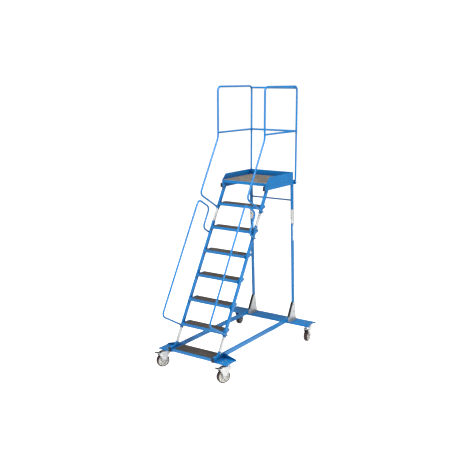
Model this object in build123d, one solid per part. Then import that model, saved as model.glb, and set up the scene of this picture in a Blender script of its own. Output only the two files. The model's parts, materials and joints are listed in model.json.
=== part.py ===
from build123d import *
import math
import os

# Mobile ladder stand: eight steps on a steel frame with four braked swivel castors.
# Millimetres, +Z up, +X to the climber's right, +Y the way the climber faces.
# Heights are above the floor. While it is being laid out, Y starts at the front ends
# of the side rails. At the end the whole stand is moved so that its origin is the
# middle of its footprint on the floor.

# ---- steps ----
step_rise = 250.0
step_count = 8
slope_deg = 60.0
first_nose_y = 40.0
tread_depth = 150.0
tread_lip = 28.0
tread_back_lip = 24.0
tread_sheet = 2.0
tread_end_sheet = 3.0
tread_end_drop = 44.0
tread_end_bevel = 22.0
tread_end_flat = 0.62
mat_thickness = 3.0
mat_side_margin = 22.0
mat_front_margin = 18.0
mat_back_margin = 4.0
bottom_tread_front = 8.0
bottom_tread_depth = 196.0
bottom_tread_rail_lap = 20.0

# ---- tubes ----
outer_width = 600.0
flat_tube = 25.0
flat_tube_corner = 3.0
smallest_corner = 0.5
stile_depth = 40.0
stile_wall = 2.0
stile_behind_nose = 35.0
rail_height = 50.0
rail_wall = 2.0
round_tube = 22.0
round_wall = 2.0
tie_diameter = 20.0

# ---- base ----
crossbar_height = 25.0
outrigger_height = 15.0
channel_sheet = 3.0
channel_corner = 5.0
crossbar_length = 1160.0
crossbar_depth = 182.0
crossbar_ahead_of_leg = 42.0
rail_on_crossbar = 18.0
outrigger_depth = 165.0
outrigger_front = 20.0
outrigger_reach = 166.0
outrigger_rib = 58.0
outrigger_rib_end = 10.0
outrigger_rib_sheet = 4.0

# ---- stile joints, measured along the stile ----
foot_socket_length = 32.0
mid_below_second_step = 61.8
top_length = 279.3
upper_joint_gap = 149.0
spigot_clearance = 0.3
spigot_wall = 2.5
spigot_corner = 2.0
spigot_insert = 62.0
pin_inset = 28.0

# ---- rear legs ----
leg_depth = 40.0
leg_lean_deg = 2.9
leg_ahead_of_platform_back = 5.0
leg_upper_length = 385.0
leg_sleeve_length = 172.0
leg_sleeve_wall = 2.5
leg_sleeve_clearance = 0.3
leg_bolt_pitch = 36.0
leg_tie_drop = 190.0
leg_foot_height = 222.0
leg_foot_sheet = 3.0
leg_foot_flange = 22.0
leg_foot_back = 46.0
leg_foot_front_lap = 16.0
leg_foot_web = 18.0
leg_foot_shoulder = 12.0
foot_bolt_shares = (0.45, 0.86)
edge_strip_thickness = 5.0

# ---- platform ----
platform_depth = 615.0
platform_over_nose = 21.0
platform_lip = 35.0
platform_sheet = 3.0
side_tube_height = 50.0
side_tube_overhang = 29.0
side_tube_behind_post = 20.0
toe_board_height = 100.0
toe_board_sheet = 3.0
toe_board_setback = 70.0
toe_board_gap = 0.5

# ---- guardrails and handrails ----
guard_height = 1070.0
guard_mid_height = 545.0
guard_ahead = 59.0
guard_behind = 36.0
guard_corner = 50.0
guard_knee = 90.0
rear_rail_drop = 18.0
hand_clearance = 366.0
grip_return = 129.0
grip_above_joint = 114.0
grip_below_joint = 140.0
rail_bend = 52.0
tube_end_overrun = 16.0
tube_end_drop = 24.0

# ---- fasteners and trim ----
bolt_d = 8.0
bolt_hole_d = 9.0
bolt_head_d = 14.0
bolt_head_h = 5.5
bolt_blind = 3.0
coupling_bolt_stand_off = 1.0
cut_over = 1.0
plug_lip = 4.0
rail_plug_lip = 14.0
plug_depth = 16.0
plug_clearance = 0.3
label_size = (200.0, 20.0)
label_thickness = 0.5
label_below_sleeve = 14.0

# ---- castors ----
castor_plate = (100.0, 86.0)
castor_plate_sheet = 4.0
castor_plate_corner = 8.0
castor_bolt_pitch = (78.0, 62.0)
wheel_d = 150.0
wheel_clearance = 28.0
tyre_thickness = 15.0
tyre_width = 44.0
tyre_corner = 8.0
rim_width = 40.0
rim_band = 5.0
rim_web = 12.0
rim_taper = 3.0
hub_d = 34.0
hub_width = 46.0
axle_d = 12.0
axle_clearance = 0.05
axle_overrun = 8.5
axle_spacer_d = 20.0
axle_nut_r = 10.0
axle_nut_h = 7.0
castor_trail = 45.0
fork_gap = 52.0
fork_sheet = 4.0
fork_boss_d = 34.0
fork_shoulder = 4.0
fork_shoulder_drop = 41.0
crown_lip_drop = 26.0
crown_below_plate = 31.0
crown_front = 34.0
crown_back = 58.0
race_d = 64.0
king_pin_d = 14.0
king_head_d = 26.0
king_head_h = 7.0
turning_gap = 0.3
pedal_pivot_gap = 15.8
pedal_pivot_deg = 63.2
pedal_pin_d = 8.0
pedal_pin_clearance = 0.06
pedal_pin_head_d = 13.0
pedal_pin_head_h = 3.0
pedal_eye_d = 17.0
pedal_reach = 54.0
pedal_side_gap = 1.0
pedal_sheet = 5.0
pedal_tip = [(0.0, 24.0), (3.0, 18.0), (-12.0, 14.0)]
brake_block = [(0.0, 0.0), (18.0, 1.0), (16.0, -13.0), (4.0, -15.0)]
brake_block_inset = 8.0
front_castor_outboard = 110.0
front_castor_ahead = 17.5
rear_castor_inset = 62.0
rear_castor_behind = 22.0
castor_trail_deg = {"front_left": 242.0, "front_right": 241.0, "rear_left": 98.0, "rear_right": 278.0}

# ---- worked out from the sizes above ----
wheel_r = wheel_d / 2
crown_top = wheel_d + wheel_clearance + fork_sheet
castor_height = crown_top + crown_below_plate + castor_plate_sheet
pedal_pivot = (
    castor_trail + (wheel_r + pedal_pivot_gap) * math.cos(math.radians(pedal_pivot_deg)),
    wheel_r + (wheel_r + pedal_pivot_gap) * math.sin(math.radians(pedal_pivot_deg)),
)
slope = math.radians(slope_deg)
going = step_rise / math.tan(slope)
half_width = outer_width / 2
inner_half = half_width - flat_tube
frame_x = half_width - flat_tube / 2
round_r = round_tube / 2
rail_x = half_width + round_r
rail_bottom = castor_height + channel_sheet
rail_top = rail_bottom + rail_height
platform_top = step_rise * step_count
side_tube_top = platform_top - platform_lip
side_tube_bottom = side_tube_top - side_tube_height
nose_floor_y = first_nose_y - step_rise / math.tan(slope)
stile_floor_y = nose_floor_y + stile_behind_nose + stile_depth / 2 / math.sin(slope)
platform_front = first_nose_y + going * (step_count - 1) - platform_over_nose
platform_back = platform_front + platform_depth
leg_top_y = platform_back - leg_ahead_of_platform_back
leg_joint_height = side_tube_bottom - leg_upper_length
leg_tie_height = side_tube_bottom - leg_tie_drop
leg_lean = math.radians(leg_lean_deg)
leg_foot_y = leg_top_y + (side_tube_bottom - rail_bottom) * math.tan(leg_lean)
crossbar_y = leg_foot_y - crossbar_ahead_of_leg
crossbar_front = crossbar_y - crossbar_depth / 2
rail_length = crossbar_front + rail_on_crossbar
guard_front_y = platform_front - guard_ahead
guard_back_y = platform_back + guard_behind
side_tube_front = platform_front - side_tube_overhang
side_tube_back = guard_back_y + side_tube_behind_post
guard_top = platform_top + guard_height - round_r
guard_mid = platform_top + guard_mid_height
outrigger_y = outrigger_front + outrigger_depth / 2
front_castor_x = half_width + front_castor_outboard
front_castor_y = outrigger_y - front_castor_ahead
rear_castor_x = crossbar_length / 2 - rear_castor_inset
rear_castor_y = crossbar_y + rear_castor_behind
mid_start = (2 * step_rise - mid_below_second_step) / math.sin(slope)
top_start = side_tube_bottom / math.sin(slope) - top_length
mid_end = top_start - upper_joint_gap
grip_top = mid_end + grip_above_joint
grip_bottom = mid_end - grip_below_joint
foot_socket_end = rail_top / math.sin(slope) + foot_socket_length
sides = {"left": -1, "right": 1}

nodes = {}


def stile_point(along, out):
    """Y and Z of a point this far up the stile's centreline and this far in front of it."""
    y = stile_floor_y + along * math.cos(slope) - out * math.sin(slope)
    z = along * math.sin(slope) + out * math.cos(slope)
    return y, z


def leg_y(z):
    return leg_top_y + (side_tube_bottom - z) * math.tan(leg_lean)


def tube_section(width, depth, wall, corner):
    section = RectangleRounded(width, depth, corner)
    inner_corner = max(corner - wall, smallest_corner)
    return section - RectangleRounded(width - 2 * wall, depth - 2 * wall, inner_corner)


def flat_bar_between(x, start, end, width, depth, wall, corner=flat_tube_corner):
    """A rectangular tube from start to end, both (y, z), with its width along X."""
    dy = end[0] - start[0]
    dz = end[1] - start[1]
    plane = Plane(origin=(x, start[0], start[1]), x_dir=(1, 0, 0), z_dir=(0, dy, dz))
    return extrude(plane * tube_section(width, depth, wall, corner), math.hypot(dy, dz))


def round_tube_on(x, points, radii, diameter=round_tube, wall=round_wall):
    """A bent round tube in the plane of X, through the (y, z) points, with a radius at each corner."""
    path = FilletPolyline(*[(x, y, z) for y, z in points], radius=radii)
    start = Plane(origin=path @ 0, z_dir=path % 0)
    outer = sweep(start * Circle(diameter / 2), path=path)
    if wall is None:
        return outer
    return outer - sweep(start * Circle(diameter / 2 - wall), path=path)


def below(part, z):
    """The piece of a part that is under a level cut."""
    return split(part, bisect_by=Plane(origin=(0, 0, z)), keep=Keep.BOTTOM)


def above(part, z):
    return split(part, bisect_by=Plane(origin=(0, 0, z)), keep=Keep.TOP)


def channel(length, depth, height, sheet, corner):
    """An inverted channel along X. Its top is at Z zero and it is centred on X and Y."""
    outer = Pos(0, -height / 2) * Rectangle(depth, height)
    outer = fillet(outer.vertices().group_by(Axis.Y)[-1], corner)
    inner = Pos(0, -height / 2 - sheet / 2) * Rectangle(depth - 2 * sheet, height - sheet)
    inner = fillet(inner.vertices().group_by(Axis.Y)[-1], corner - sheet)
    face = Plane(origin=(-length / 2, 0, 0), x_dir=(0, 1, 0), z_dir=(1, 0, 0)) * (outer - inner)
    return extrude(face, length)


def side_plate(points, x, thickness):
    """A flat plate in the YZ plane, from x to x plus thickness, with the (y, z) outline."""
    face = make_face(Polyline(*[(x, y, z) for y, z in points], close=True))
    return extrude(face, amount=thickness, dir=(1, 0, 0))


def rod_x(x0, x1, y, z, diameter):
    return Pos((x0 + x1) / 2, y, z) * Rot(0, 90, 0) * Cylinder(diameter / 2, abs(x1 - x0))


def rod_y(y0, y1, x, z, diameter):
    return Pos(x, (y0 + y1) / 2, z) * Rot(90, 0, 0) * Cylinder(diameter / 2, abs(y1 - y0))


def rod_z(z0, z1, x, y, diameter):
    return Pos(x, y, (z0 + z1) / 2) * Cylinder(diameter / 2, abs(z1 - z0))


def hex_bolt(length):
    """A bolt along Z: its shank runs down from zero and its head stands on zero."""
    head = extrude(RegularPolygon(bolt_head_d / 2, 6), bolt_head_h)
    return head + rod_z(-length, 0, 0, 0, bolt_d)


def bolt_from_side(side, x, y, z, length):
    return Pos(side * x, y, z) * Rot(0, 90 * side, 0) * hex_bolt(length)


def solids_of(parts):
    found = []
    for part in parts:
        found.extend(part.solids())
    return Compound(children=found)


# ---- bolt places ----
guard_end = top_start + pin_inset
hand_end = mid_start + pin_inset
connector_top_pin = mid_end - pin_inset
foot_pin = foot_socket_end - foot_socket_length / 2
foot_bolt_heights = [rail_bottom + leg_foot_height * share for share in foot_bolt_shares]
coupling_bolt_heights = (leg_joint_height - leg_bolt_pitch / 2, leg_joint_height + leg_bolt_pitch / 2)
post_bolt = (guard_back_y, side_tube_bottom + side_tube_height / 2)


def side_bolt_holes(side, stations):
    """Clearance holes along X for the bolts at these distances up the stile."""
    holes = []
    for along in stations:
        y, z = stile_point(along, 0)
        outside = half_width + round_tube + cut_over
        holes.append(rod_x(side * (inner_half - cut_over), side * outside, y, z, bolt_hole_d))
    return holes


# ---- base: side rails, outriggers and rear crossbar ----
def make_rail(side):
    z = rail_bottom + rail_height / 2
    tube = flat_bar_between(side * frame_x, (0, z), (rail_length, z), flat_tube, rail_height, rail_wall)
    return tube


def make_outrigger(side):
    """A channel that passes under the side rail, with an upright rib along its back edge."""
    length = flat_tube + outrigger_reach
    centre = side * (inner_half + length / 2)
    part = Pos(centre, outrigger_y, rail_bottom) * channel(
        length, outrigger_depth, outrigger_height, channel_sheet, channel_corner)
    back = outrigger_front + outrigger_depth - channel_corner
    rib_start = side * half_width
    rib_stop = side * (inner_half + length)
    outline = Polyline(
        (rib_start, back, rail_bottom),
        (rib_stop, back, rail_bottom),
        (rib_stop, back, rail_bottom + outrigger_rib_end),
        (rib_start, back, rail_bottom + outrigger_rib),
        close=True)
    part += extrude(make_face(outline), amount=outrigger_rib_sheet, dir=(0, -1, 0))
    return part


def castor_holes(x, y):
    holes = []
    for sx in (-1, 1):
        for sy in (-1, 1):
            hx = x + sx * castor_bolt_pitch[0] / 2
            hy = y + sy * castor_bolt_pitch[1] / 2
            holes.append(rod_z(castor_height - crossbar_height, rail_bottom + cut_over, hx, hy, bolt_hole_d))
    return holes


rear_crossbar = Pos(0, crossbar_y, rail_bottom) * channel(
    crossbar_length, crossbar_depth, crossbar_height, channel_sheet, channel_corner)
castor_places = {}
for name, side in sides.items():
    castor_places["front_" + name] = (side * front_castor_x, front_castor_y)
    castor_places["rear_" + name] = (side * rear_castor_x, rear_castor_y)
    nodes["base_rail_" + name] = make_rail(side)
    outrigger = make_outrigger(side)
    for hole in castor_holes(*castor_places["front_" + name]):
        outrigger -= hole
    for hole in castor_holes(*castor_places["rear_" + name]):
        rear_crossbar -= hole
    nodes["front_outrigger_" + name] = outrigger
nodes["rear_crossbar"] = rear_crossbar


# ---- stiles, their spigots and the sockets on the side rails ----
def stile_run(side, start, end, stations):
    part = flat_bar_between(
        side * frame_x, stile_point(start, 0), stile_point(end, 0), flat_tube, stile_depth, stile_wall)
    for hole in side_bolt_holes(side, stations):
        part -= hole
    return part


def spigot_run(side, start, end, stations):
    width = flat_tube - 2 * stile_wall - 2 * spigot_clearance
    depth = stile_depth - 2 * stile_wall - 2 * spigot_clearance
    part = flat_bar_between(
        side * frame_x, stile_point(start, 0), stile_point(end, 0), width, depth, spigot_wall, spigot_corner)
    for hole in side_bolt_holes(side, stations):
        part -= hole
    return part


reach_down = stile_depth
feet = []
lower_spigots = []
upper_spigots = []
for name, side in sides.items():
    foot_start = rail_top / math.sin(slope) - reach_down
    feet.append(above(stile_run(side, foot_start, foot_socket_end, [foot_pin]), rail_top))
    lower = spigot_run(side, foot_start, mid_start + spigot_insert, [foot_pin, hand_end])
    lower_spigots.append(above(lower, rail_top))
    upper_spigots.append(spigot_run(
        side, mid_end - spigot_insert, top_start + spigot_insert, [connector_top_pin, guard_end]))
    middle_holes = [hand_end, grip_bottom, connector_top_pin]
    nodes["stile_mid_" + name] = stile_run(side, mid_start, mid_end, middle_holes)
    top_end = side_tube_bottom / math.sin(slope) + reach_down
    nodes["stile_top_" + name] = below(stile_run(side, top_start, top_end, [guard_end]), side_tube_bottom)
nodes["stile_sockets"] = solids_of(feet)
nodes["lower_spigots"] = solids_of(lower_spigots)
nodes["upper_spigots"] = solids_of(upper_spigots)


# ---- treads ----
def make_tread(front, depth, top):
    """A folded step: a sheet with a lip all along the front and back, and an end plate each side."""
    width = 2 * inner_half
    sheet_top = top - mat_thickness
    middle = front + depth / 2
    part = Pos(0, middle, sheet_top - tread_sheet / 2) * Box(width, depth, tread_sheet)
    part += Pos(0, front + tread_sheet / 2, sheet_top - tread_lip / 2) * Box(width, tread_sheet, tread_lip)
    back = front + depth - tread_sheet / 2
    part += Pos(0, back, sheet_top - tread_back_lip / 2) * Box(width, tread_sheet, tread_back_lip)
    return part


def add_tread_ends(part, front, depth, top, drop, low, high):
    """Welds an end plate to each side, as deep as the lips and always reaching both low and high."""
    sheet_top = top - mat_thickness
    plate_top = max(high, sheet_top)
    belly = min(low, sheet_top - drop)
    outline = [
        (front, plate_top),
        (front, min(low, sheet_top - tread_lip)),
        (front + tread_end_bevel, belly),
        (front + depth * tread_end_flat, belly),
        (front + depth, min(low, sheet_top - tread_back_lip)),
        (front + depth, plate_top),
    ]
    part += side_plate(outline, -inner_half, tread_end_sheet)
    part += side_plate(outline, inner_half - tread_end_sheet, tread_end_sheet)
    return part


def make_mat(front, depth, top, half):
    length = depth - mat_front_margin - mat_back_margin
    middle = front + mat_front_margin + length / 2
    return Pos(0, middle, top - mat_thickness / 2) * Box(2 * half, length, mat_thickness)


mats = []
for step in range(1, step_count):
    top = step_rise * step
    if step == 1:
        front = bottom_tread_front
        depth = bottom_tread_depth
        drop = tread_lip
        low = rail_top - bottom_tread_rail_lap
        high = rail_bottom + bottom_tread_rail_lap
    else:
        front = first_nose_y + going * (step - 1)
        depth = tread_depth
        drop = tread_end_drop
        low = high = top - mat_thickness
    tread = make_tread(front, depth, top)
    nodes["tread_%d" % step] = add_tread_ends(tread, front, depth, top, drop, low, high)
    mats.append(make_mat(front, depth, top, inner_half - mat_side_margin))
nodes["tread_mats"] = solids_of(mats)


# ---- platform ----
def make_tray():
    """The deck: a sheet with lips down all four sides, which stand on the side tubes."""
    width = outer_width - 2 * toe_board_sheet
    depth = platform_depth - toe_board_sheet
    height = platform_lip - mat_thickness
    middle = platform_front + depth / 2
    base = side_tube_top + height / 2
    part = Pos(0, middle, base) * Box(width, depth, height)
    part = fillet(part.edges().filter_by(Axis.X).group_by(Axis.Y)[0].sort_by(Axis.Z)[-1:], platform_sheet)
    hollow = Box(width - 2 * platform_sheet, depth - 2 * platform_sheet, height)
    return part - Pos(0, middle, base - platform_sheet) * hollow


nodes["platform_deck"] = make_tray()
deck_mat_depth = platform_depth - toe_board_sheet
nodes["platform_mat"] = make_mat(
    platform_front, deck_mat_depth, platform_top, half_width - toe_board_sheet - toe_board_gap)


def toe_board(side):
    low = side_tube_top
    high = low + toe_board_height
    outline = [
        (platform_front, low),
        (platform_front, low + platform_lip - mat_thickness),
        (platform_front + toe_board_setback, high),
        (platform_back, high),
        (platform_back, low),
    ]
    x = side * half_width if side < 0 else half_width - toe_board_sheet
    return side_plate(outline, x, toe_board_sheet)


for name, side in sides.items():
    middle = side_tube_bottom + side_tube_height / 2
    tube = flat_bar_between(side * frame_x, (side_tube_front, middle), (side_tube_back, middle),
                            flat_tube, side_tube_height, rail_wall)
    tube -= rod_x(side * (inner_half - cut_over), side * (half_width + cut_over), *post_bolt, bolt_hole_d)
    nodes["platform_side_" + name] = tube
    nodes["toe_board_" + name] = toe_board(side)
nodes["toe_board_rear"] = Pos(
    0, platform_back - toe_board_sheet / 2, side_tube_top + toe_board_height / 2) * Box(
    outer_width - 2 * toe_board_sheet, toe_board_sheet, toe_board_height)


# ---- guardrails and handrails ----
def guard_points():
    """The bent guard tube, from its low end on the stile to its low end at the back."""
    knee_along = ((guard_front_y - stile_floor_y) + hand_clearance * math.sin(slope)) / math.cos(slope)
    return [
        stile_point(guard_end, -tube_end_overrun),
        stile_point(guard_end, hand_clearance),
        stile_point(knee_along, hand_clearance),
        (guard_front_y, guard_top),
        (guard_back_y, guard_top),
        (guard_back_y, post_bolt[1] - tube_end_drop),
    ]


guard_radii = [rail_bend, guard_knee, guard_corner, guard_corner]
hand_points = [
    stile_point(hand_end, -tube_end_overrun),
    stile_point(hand_end, hand_clearance),
    stile_point(grip_top, hand_clearance),
    stile_point(grip_top, grip_return),
    stile_point(grip_bottom, grip_return),
    stile_point(grip_bottom, -tube_end_overrun),
]
hand_radii = [rail_bend] * 4

guard_solid = {}
mid_rails = []
for name, side in sides.items():
    x = side * rail_x
    guard_solid[name] = round_tube_on(x, guard_points(), guard_radii, wall=None)
    guard = round_tube_on(x, guard_points(), guard_radii)
    for hole in side_bolt_holes(side, [guard_end]):
        guard -= hole
    guard -= rod_x(side * half_width, side * (half_width + round_tube + cut_over), *post_bolt, bolt_hole_d)
    nodes["guardrail_" + name] = guard
    hand = round_tube_on(x, hand_points, hand_radii)
    for hole in side_bolt_holes(side, [hand_end, grip_bottom]):
        hand -= hole
    nodes["handrail_" + name] = hand
    bar = rod_y(guard_front_y, guard_back_y, x, guard_mid, round_tube)
    bar -= rod_y(guard_front_y, guard_back_y, x, guard_mid, round_tube - 2 * round_wall)
    bar -= guard_solid[name]
    mid_rails.append(bar.solids().sort_by(SortBy.VOLUME)[-1])
nodes["guard_mid_rails"] = solids_of(mid_rails)


def rear_rail(y, z):
    """A straight rail across the back, its ends cut to fit round the guard tubes."""
    bar = rod_x(-rail_x, rail_x, y, z, round_tube)
    bar -= rod_x(-rail_x, rail_x, y, z, round_tube - 2 * round_wall)
    for name in sides:
        bar -= guard_solid[name]
    return bar


corner_rise = guard_corner - rear_rail_drop
corner_y = guard_back_y - guard_corner + math.sqrt(guard_corner ** 2 - corner_rise ** 2)
rear_top = rear_rail(corner_y, guard_top - rear_rail_drop)
rear_mid = rear_rail(guard_back_y, guard_mid)
for bar in mid_rails:
    rear_mid -= bar
nodes["rear_rails"] = solids_of([
    rear_top.solids().sort_by(SortBy.VOLUME)[-1],
    rear_mid.solids().sort_by(SortBy.VOLUME)[-1]])


# ---- rear legs ----
def leg_run(side, z0, z1):
    """A length of leg that leans back towards its foot, cut level at both ends."""
    start = (leg_y(z0 - leg_depth), z0 - leg_depth)
    end = (leg_y(z1 + leg_depth), z1 + leg_depth)
    tube = flat_bar_between(side * frame_x, start, end, flat_tube, leg_depth, stile_wall)
    return above(below(tube, z1), z0)


def leg_bolt_hole_y(side, z):
    y = leg_y(z)
    return rod_y(y - leg_depth, y + leg_depth, side * frame_x, z, bolt_hole_d)


def leg_bolt_hole_x(side, z):
    return rod_x(side * (inner_half - leg_depth), side * (half_width + leg_depth), leg_y(z), z, bolt_hole_d)


def make_sleeve(side):
    half = leg_sleeve_length / 2
    start = (leg_y(leg_joint_height - half), leg_joint_height - half)
    end = (leg_y(leg_joint_height + half), leg_joint_height + half)
    grow = 2 * (leg_sleeve_wall + leg_sleeve_clearance)
    sleeve = flat_bar_between(side * frame_x, start, end, flat_tube + grow, leg_depth + grow,
                              leg_sleeve_wall, flat_tube_corner + grow / 2)
    for z in coupling_bolt_heights:
        sleeve -= leg_bolt_hole_y(side, z)
    return sleeve


def make_leg_foot(side):
    """Two cheeks that hold the leg and the end of the side rail, with flanges on the crossbar."""
    top = rail_bottom + leg_foot_height
    half_leg = leg_depth / 2 / math.cos(leg_lean)
    front = crossbar_front - leg_foot_front_lap
    back = leg_foot_y + leg_foot_back
    outline = [
        (front, rail_bottom),
        (back, rail_bottom),
        (back, rail_bottom + leg_foot_web),
        (leg_y(top) + half_leg, top),
        (leg_y(top) - half_leg, top),
        (rail_length, rail_top + leg_foot_shoulder),
        (front, rail_top),
    ]
    x = side * frame_x
    cheeks = []
    for hand in (-1, 1):
        face_x = x + hand * flat_tube / 2
        start = face_x if hand > 0 else face_x - leg_foot_sheet
        cheek = side_plate(outline, start, leg_foot_sheet)
        flange_x = face_x + hand * leg_foot_flange / 2
        flange_y = (crossbar_front + channel_corner + back) / 2
        flange = Pos(flange_x, flange_y, rail_bottom + leg_foot_sheet / 2) * Box(
            leg_foot_flange, back - crossbar_front - channel_corner, leg_foot_sheet)
        cheeks.append(cheek + flange)
    web_y = leg_y(rail_bottom) + half_leg + leg_foot_sheet
    web = Pos(x, web_y + leg_foot_sheet / 2, rail_bottom + leg_foot_web / 2) * Box(
        flat_tube + leg_foot_sheet, leg_foot_sheet, leg_foot_web)
    foot = cheeks[0] + cheeks[1] + web
    for z in foot_bolt_heights:
        foot -= leg_bolt_hole_x(side, z)
    return foot, outline


def make_edge_strip(side, outline):
    """The black strip that covers the sloping front edges of the two cheeks."""
    low = outline[5]
    high = outline[4]
    run = math.hypot(high[0] - low[0], high[1] - low[1])
    plane = Plane(origin=(side * frame_x, low[0], low[1]), x_dir=(1, 0, 0),
                  z_dir=(0, high[0] - low[0], high[1] - low[1]))
    width = flat_tube + 2 * leg_foot_sheet
    face = plane * Pos(0, -edge_strip_thickness / 2) * Rectangle(width, edge_strip_thickness)
    return extrude(face, run)


legs_upper = []
legs_lower = []
sleeves = []
leg_feet = []
strips = []
for name, side in sides.items():
    upper = leg_run(side, leg_joint_height, side_tube_bottom)
    lower = leg_run(side, rail_bottom, leg_joint_height)
    for z in coupling_bolt_heights:
        upper -= leg_bolt_hole_y(side, z)
        lower -= leg_bolt_hole_y(side, z)
    for z in foot_bolt_heights:
        lower -= leg_bolt_hole_x(side, z)
    legs_upper.append(upper)
    legs_lower.append(lower)
    sleeves.append(make_sleeve(side))
    foot, foot_outline = make_leg_foot(side)
    leg_feet.append(foot)
    strips.append(make_edge_strip(side, foot_outline))
nodes["rear_legs_upper"] = solids_of(legs_upper)
nodes["rear_legs_lower"] = solids_of(legs_lower)
nodes["leg_sleeves"] = solids_of(sleeves)
nodes["leg_feet"] = solids_of(leg_feet)
nodes["foot_edge_strips"] = solids_of(strips)
tie = rod_x(-inner_half, inner_half, leg_y(leg_tie_height), leg_tie_height, tie_diameter)
nodes["leg_tie"] = tie - rod_x(
    -inner_half, inner_half, leg_y(leg_tie_height), leg_tie_height, tie_diameter - 2 * round_wall)

label_top = leg_joint_height - leg_sleeve_length / 2 - label_below_sleeve
label_middle = label_top - label_size[0] / 2
nodes["blank_label"] = Pos(half_width + label_thickness / 2, leg_y(label_middle), label_middle) * Rot(
    leg_lean_deg, 0, 0) * Box(label_thickness, label_size[1], label_size[0])


# ---- end plugs ----
def make_plug(x, y, z, height, way, lip_length=plug_lip):
    """A plug in a tube end. Its lip covers the end, and way is the side of the end it sits on."""
    lip = Pos(x, y + way * lip_length / 2, z) * Box(flat_tube, lip_length, height)
    lip = fillet(lip.edges().filter_by(Axis.Y), flat_tube_corner)
    inset = 2 * (rail_wall + plug_clearance)
    stem = Pos(x, y - way * plug_depth / 2, z) * Box(flat_tube - inset, plug_depth, height - inset)
    return lip + stem


plugs = []
for side in sides.values():
    plugs.append(make_plug(side * frame_x, 0, rail_bottom + rail_height / 2, rail_height, -1, rail_plug_lip))
    middle = side_tube_bottom + side_tube_height / 2
    plugs.append(make_plug(side * frame_x, side_tube_front, middle, side_tube_height, -1))
    plugs.append(make_plug(side * frame_x, side_tube_back, middle, side_tube_height, 1))
nodes["end_plugs"] = solids_of(plugs)


# ---- bolts ----
frame_bolts = []
tube_face = half_width + round_tube
through = flat_tube - bolt_blind
for side in sides.values():
    for along in (guard_end, hand_end, grip_bottom):
        y, z = stile_point(along, 0)
        frame_bolts.append(bolt_from_side(side, tube_face, y, z, round_tube + through))
    for along in (connector_top_pin, foot_pin):
        y, z = stile_point(along, 0)
        frame_bolts.append(bolt_from_side(side, half_width, y, z, through))
    frame_bolts.append(bolt_from_side(side, tube_face, *post_bolt, round_tube + through))
    for z in foot_bolt_heights:
        frame_bolts.append(bolt_from_side(
            side, half_width + leg_foot_sheet, leg_y(z), z, flat_tube + leg_foot_sheet))
    for z in coupling_bolt_heights:
        front = leg_y(z) - leg_depth / 2 - leg_sleeve_wall - leg_sleeve_clearance - coupling_bolt_stand_off
        frame_bolts.append(Pos(side * frame_x, front, z) * Rot(90, 0, 0) * hex_bolt(leg_depth))
nodes["frame_bolts"] = solids_of(frame_bolts)

plates = []
castor_bolts = []
king_bottom = castor_height - castor_plate_sheet - crown_below_plate - fork_sheet - turning_gap
for x, y in castor_places.values():
    plate = Pos(x, y, castor_height - castor_plate_sheet / 2) * Box(*castor_plate, castor_plate_sheet)
    plate = fillet(plate.edges().filter_by(Axis.Z), castor_plate_corner)
    plate += rod_z(king_bottom, castor_height - castor_plate_sheet, x, y, king_pin_d)
    plate += rod_z(king_bottom - king_head_h, king_bottom, x, y, king_head_d)
    for hole in castor_holes(x, y):
        plate -= hole
    plates.append(plate)
    for sx in (-1, 1):
        for sy in (-1, 1):
            spot = (x + sx * castor_bolt_pitch[0] / 2, y + sy * castor_bolt_pitch[1] / 2, rail_bottom)
            castor_bolts.append(Pos(*spot) * hex_bolt(channel_sheet + castor_plate_sheet + bolt_blind))
nodes["castor_plates"] = solids_of(plates)
nodes["castor_bolts"] = solids_of(castor_bolts)


# ---- castors: drawn with the wheel trailing along +X, then turned and placed ----
fork_half = fork_gap / 2


def make_fork():
    """Crown, race and two legs, with the axle and the pedal's pin held in them."""
    px, pz = pedal_pivot
    outline = [
        (-crown_front, crown_top),
        (crown_back, crown_top),
        (px + pedal_eye_d / 2, pz + pedal_eye_d / 2),
        (px + pedal_eye_d / 2, pz - pedal_eye_d / 2),
        (castor_trail + fork_boss_d / 2 + fork_shoulder, pz - fork_shoulder_drop),
        (castor_trail + fork_boss_d / 2, wheel_r),
        (castor_trail - fork_boss_d / 2, wheel_r),
        (-crown_front, crown_top - crown_lip_drop),
    ]
    face = make_face(Polyline(*[(x, 0, z) for x, z in outline], close=True))
    leg = extrude(face, amount=fork_sheet, dir=(0, 1, 0))
    leg += rod_y(0, fork_sheet, castor_trail, wheel_r, fork_boss_d)
    crown_mid = (crown_back - crown_front) / 2
    crown_width = crown_back + crown_front
    fork_width = fork_gap + 2 * fork_sheet
    fork = Pos(crown_mid, 0, crown_top - fork_sheet / 2) * Box(crown_width, fork_width, fork_sheet)
    fork += Pos(0, fork_half, 0) * leg
    fork += Pos(0, -fork_half - fork_sheet, 0) * leg
    fork += rod_z(crown_top, crown_top + crown_below_plate - turning_gap, 0, 0, race_d)
    fork -= rod_z(0, castor_height, 0, 0, king_pin_d + 2 * axle_clearance)
    fork -= rod_y(-fork_gap, fork_gap, castor_trail, wheel_r, axle_d)
    fork -= rod_y(-fork_gap, fork_gap, px, pz, pedal_pin_d)
    reach = fork_half + fork_sheet
    axle = rod_y(-reach - axle_overrun, reach + axle_overrun, castor_trail, wheel_r, axle_d)
    for hand in (-1, 1):
        hub_face = hub_width / 2 + turning_gap
        axle += rod_y(hand * hub_face, hand * fork_half, castor_trail, wheel_r, axle_spacer_d)
        nut = extrude(RegularPolygon(axle_nut_r, 6), axle_nut_h)
        axle += Pos(castor_trail, hand * reach, wheel_r) * Rot(-90 * hand, 0, 0) * nut
    pin = rod_y(-reach, reach, px, pz, pedal_pin_d)
    for hand in (-1, 1):
        pin += rod_y(hand * reach, hand * (reach + pedal_pin_head_h), px, pz, pedal_pin_head_d)
    return [fork, axle, pin]


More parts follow.
